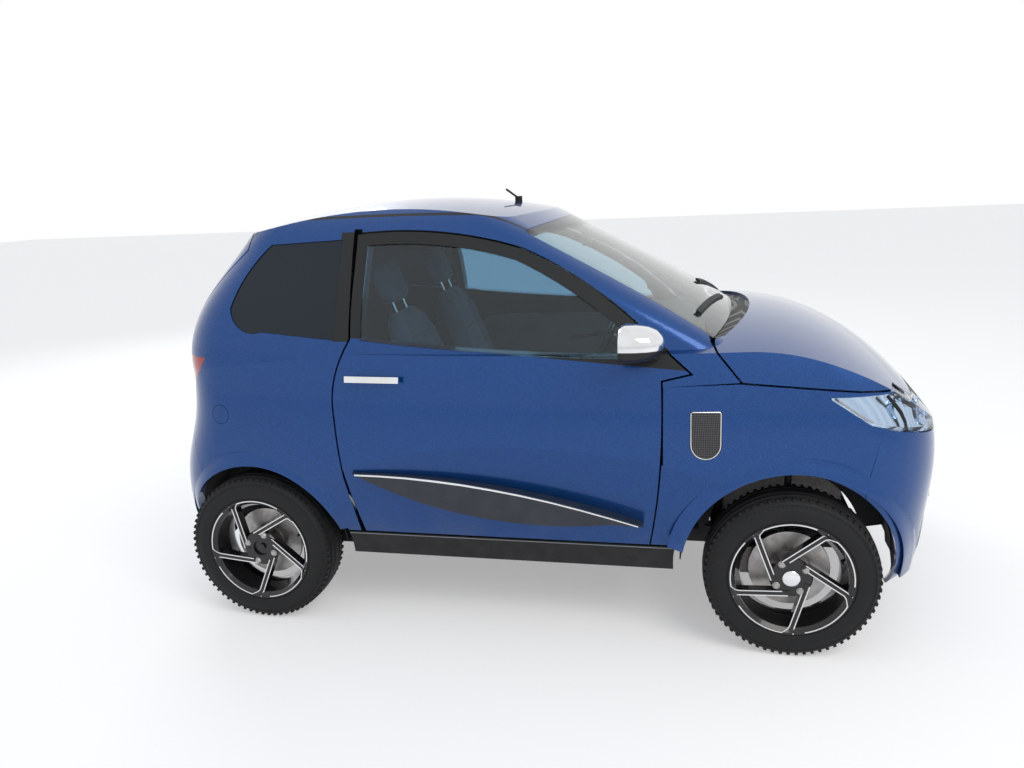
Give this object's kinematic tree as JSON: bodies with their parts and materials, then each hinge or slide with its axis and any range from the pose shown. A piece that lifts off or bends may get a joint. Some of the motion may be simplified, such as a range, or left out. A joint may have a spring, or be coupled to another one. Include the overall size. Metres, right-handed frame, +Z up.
{
  "type": "two-seat microcar",
  "caption": "Small two-seat, two-door hatchback microcar with opening doors, bonnet and tailgate, steered front wheels and rolling wheels.",
  "frame": {"origin": "on the ground, under the centre of the car's overall box", "axes": "+X towards the nose, +Y towards the car's left side, +Z up"},
  "size_m": [2.7582, 1.796, 1.4912],
  "materials": {
    "body_paint": "metallic blue paint under clear coat",
    "black_plastic": "grained black plastic",
    "gloss_black": "gloss black plastic",
    "chrome": "bright chrome",
    "clear_glass": "light green tinted glass",
    "dark_glass": "dark tinted glass",
    "lamp_clear": "clear lamp lens over silver reflectors",
    "lamp_red": "red lamp lens",
    "tyre": "black tyre rubber",
    "alloy": "black alloy with machined edges",
    "frame_paint": "black chassis paint",
    "cast_steel": "bare cast metal",
    "trim": "soft grained cabin plastic",
    "seat_cloth": "grey-blue seat cloth",
    "carpet": "dark floor carpet",
    "plate_white": "blank white number plate",
    "exhaust_steel": "dull exhaust steel"
  },
  "bodies": {
    "body_shell": {"roof_panel": "body_paint", "front_bumper": "body_paint", "rear_bumper": "body_paint", "fuel_cap": "body_paint", "sill_covers": "black_plastic", "cowl_panel": "black_plastic", "wheelhouses": "black_plastic", "wipers": "black_plastic", "aerial": "black_plastic", "side_vents": "black_plastic", "front_grille": "gloss_black", "windscreen": "clear_glass", "quarter_windows": "dark_glass", "headlamps": "lamp_clear", "tail_lamps": "lamp_red", "dashboard": "trim", "steering_column": "trim", "cabin_floor": "carpet", "chassis_frame": "frame_paint", "engine_block": "cast_steel", "fuel_tank": "black_plastic", "front_suspension": "frame_paint", "drive_shafts": "cast_steel", "steering_rack": "frame_paint", "rear_suspension": "frame_paint", "rear_dampers": "frame_paint", "exhaust": "exhaust_steel", "front_plate": "plate_white", "body_side_left": "body_paint", "front_wing_left": "body_paint", "seat_left": "seat_cloth", "body_side_right": "body_paint", "front_wing_right": "body_paint", "seat_right": "seat_cloth"},
    "bonnet": {"bonnet": "body_paint"},
    "tailgate": {"tailgate": "body_paint", "tailgate_glass": "dark_glass", "rear_plate": "plate_white"},
    "steering_wheel": {"steering_wheel": "gloss_black"},
    "door_left": {"door_left": "body_paint", "door_glass_left": "clear_glass", "mirror_left": "black_plastic", "door_trim_left": "chrome"},
    "knuckle_left": {"knuckle_left": "cast_steel"},
    "wheel_front_left": {"tyre_front_left": "tyre", "rim_front_left": "alloy"},
    "wheel_rear_left": {"tyre_rear_left": "tyre", "rim_rear_left": "alloy"},
    "door_right": {"door_right": "body_paint", "door_glass_right": "clear_glass", "mirror_right": "black_plastic", "door_trim_right": "chrome"},
    "knuckle_right": {"knuckle_right": "cast_steel"},
    "wheel_front_right": {"tyre_front_right": "tyre", "rim_front_right": "alloy"},
    "wheel_rear_right": {"tyre_rear_right": "tyre", "rim_rear_right": "alloy"}
  },
  "joints": [
    {"name": "door_left_hinge", "type": "hinge", "parent": "body_shell", "child": "door_left", "pos_m": [0.47, 0.752, 0.65], "axis": [0, 0, -1], "range_deg": [0, 62]},
    {"name": "door_right_hinge", "type": "hinge", "parent": "body_shell", "child": "door_right", "pos_m": [0.47, -0.752, 0.65], "axis": [0, 0, 1], "range_deg": [0, 62]},
    {"name": "bonnet_hinge", "type": "hinge", "parent": "body_shell", "child": "bonnet", "pos_m": [0.622, 0, 1.046], "axis": [0, -1, 0], "range_deg": [0, 55]},
    {"name": "tailgate_hinge", "type": "hinge", "parent": "body_shell", "child": "tailgate", "pos_m": [-0.971, 0, 1.402], "axis": [0, 1, 0], "range_deg": [0, 78]},
    {"name": "steer_right", "type": "hinge", "parent": "body_shell", "child": "knuckle_right", "pos_m": [0.871, -0.582, 0.271], "axis": [0, 0.1736, 0.9848], "range_deg": [-28, 28]},
    {"name": "steer_left", "type": "hinge", "parent": "body_shell", "child": "knuckle_left", "pos_m": [0.871, 0.582, 0.271], "axis": [0, -0.1736, 0.9848], "range_deg": [-28, 28]},
    {"name": "steering_wheel_turn", "type": "hinge", "parent": "body_shell", "child": "steering_wheel", "pos_m": [0.215, 0.3, 0.85], "axis": [-0.9072, 0, 0.4207], "range_deg": [-448, 448]},
    {"name": "wheel_front_left_spin", "type": "hinge", "parent": "knuckle_left", "child": "wheel_front_left", "pos_m": [0.871, 0.65, 0.271], "axis": [0, 1, 0], "continuous": true},
    {"name": "wheel_front_right_spin", "type": "hinge", "parent": "knuckle_right", "child": "wheel_front_right", "pos_m": [0.871, -0.65, 0.271], "axis": [0, 1, 0], "continuous": true},
    {"name": "wheel_rear_left_spin", "type": "hinge", "parent": "body_shell", "child": "wheel_rear_left", "pos_m": [-0.953, 0.65, 0.271], "axis": [0, 1, 0], "continuous": true},
    {"name": "wheel_rear_right_spin", "type": "hinge", "parent": "body_shell", "child": "wheel_rear_right", "pos_m": [-0.953, -0.65, 0.271], "axis": [0, 1, 0], "continuous": true}
  ],
  "couplings": [
    {"joint": "steer_left", "follows": "steer_right", "ratio": 1},
    {"joint": "steering_wheel_turn", "follows": "steer_right", "ratio": 16}
  ]
}
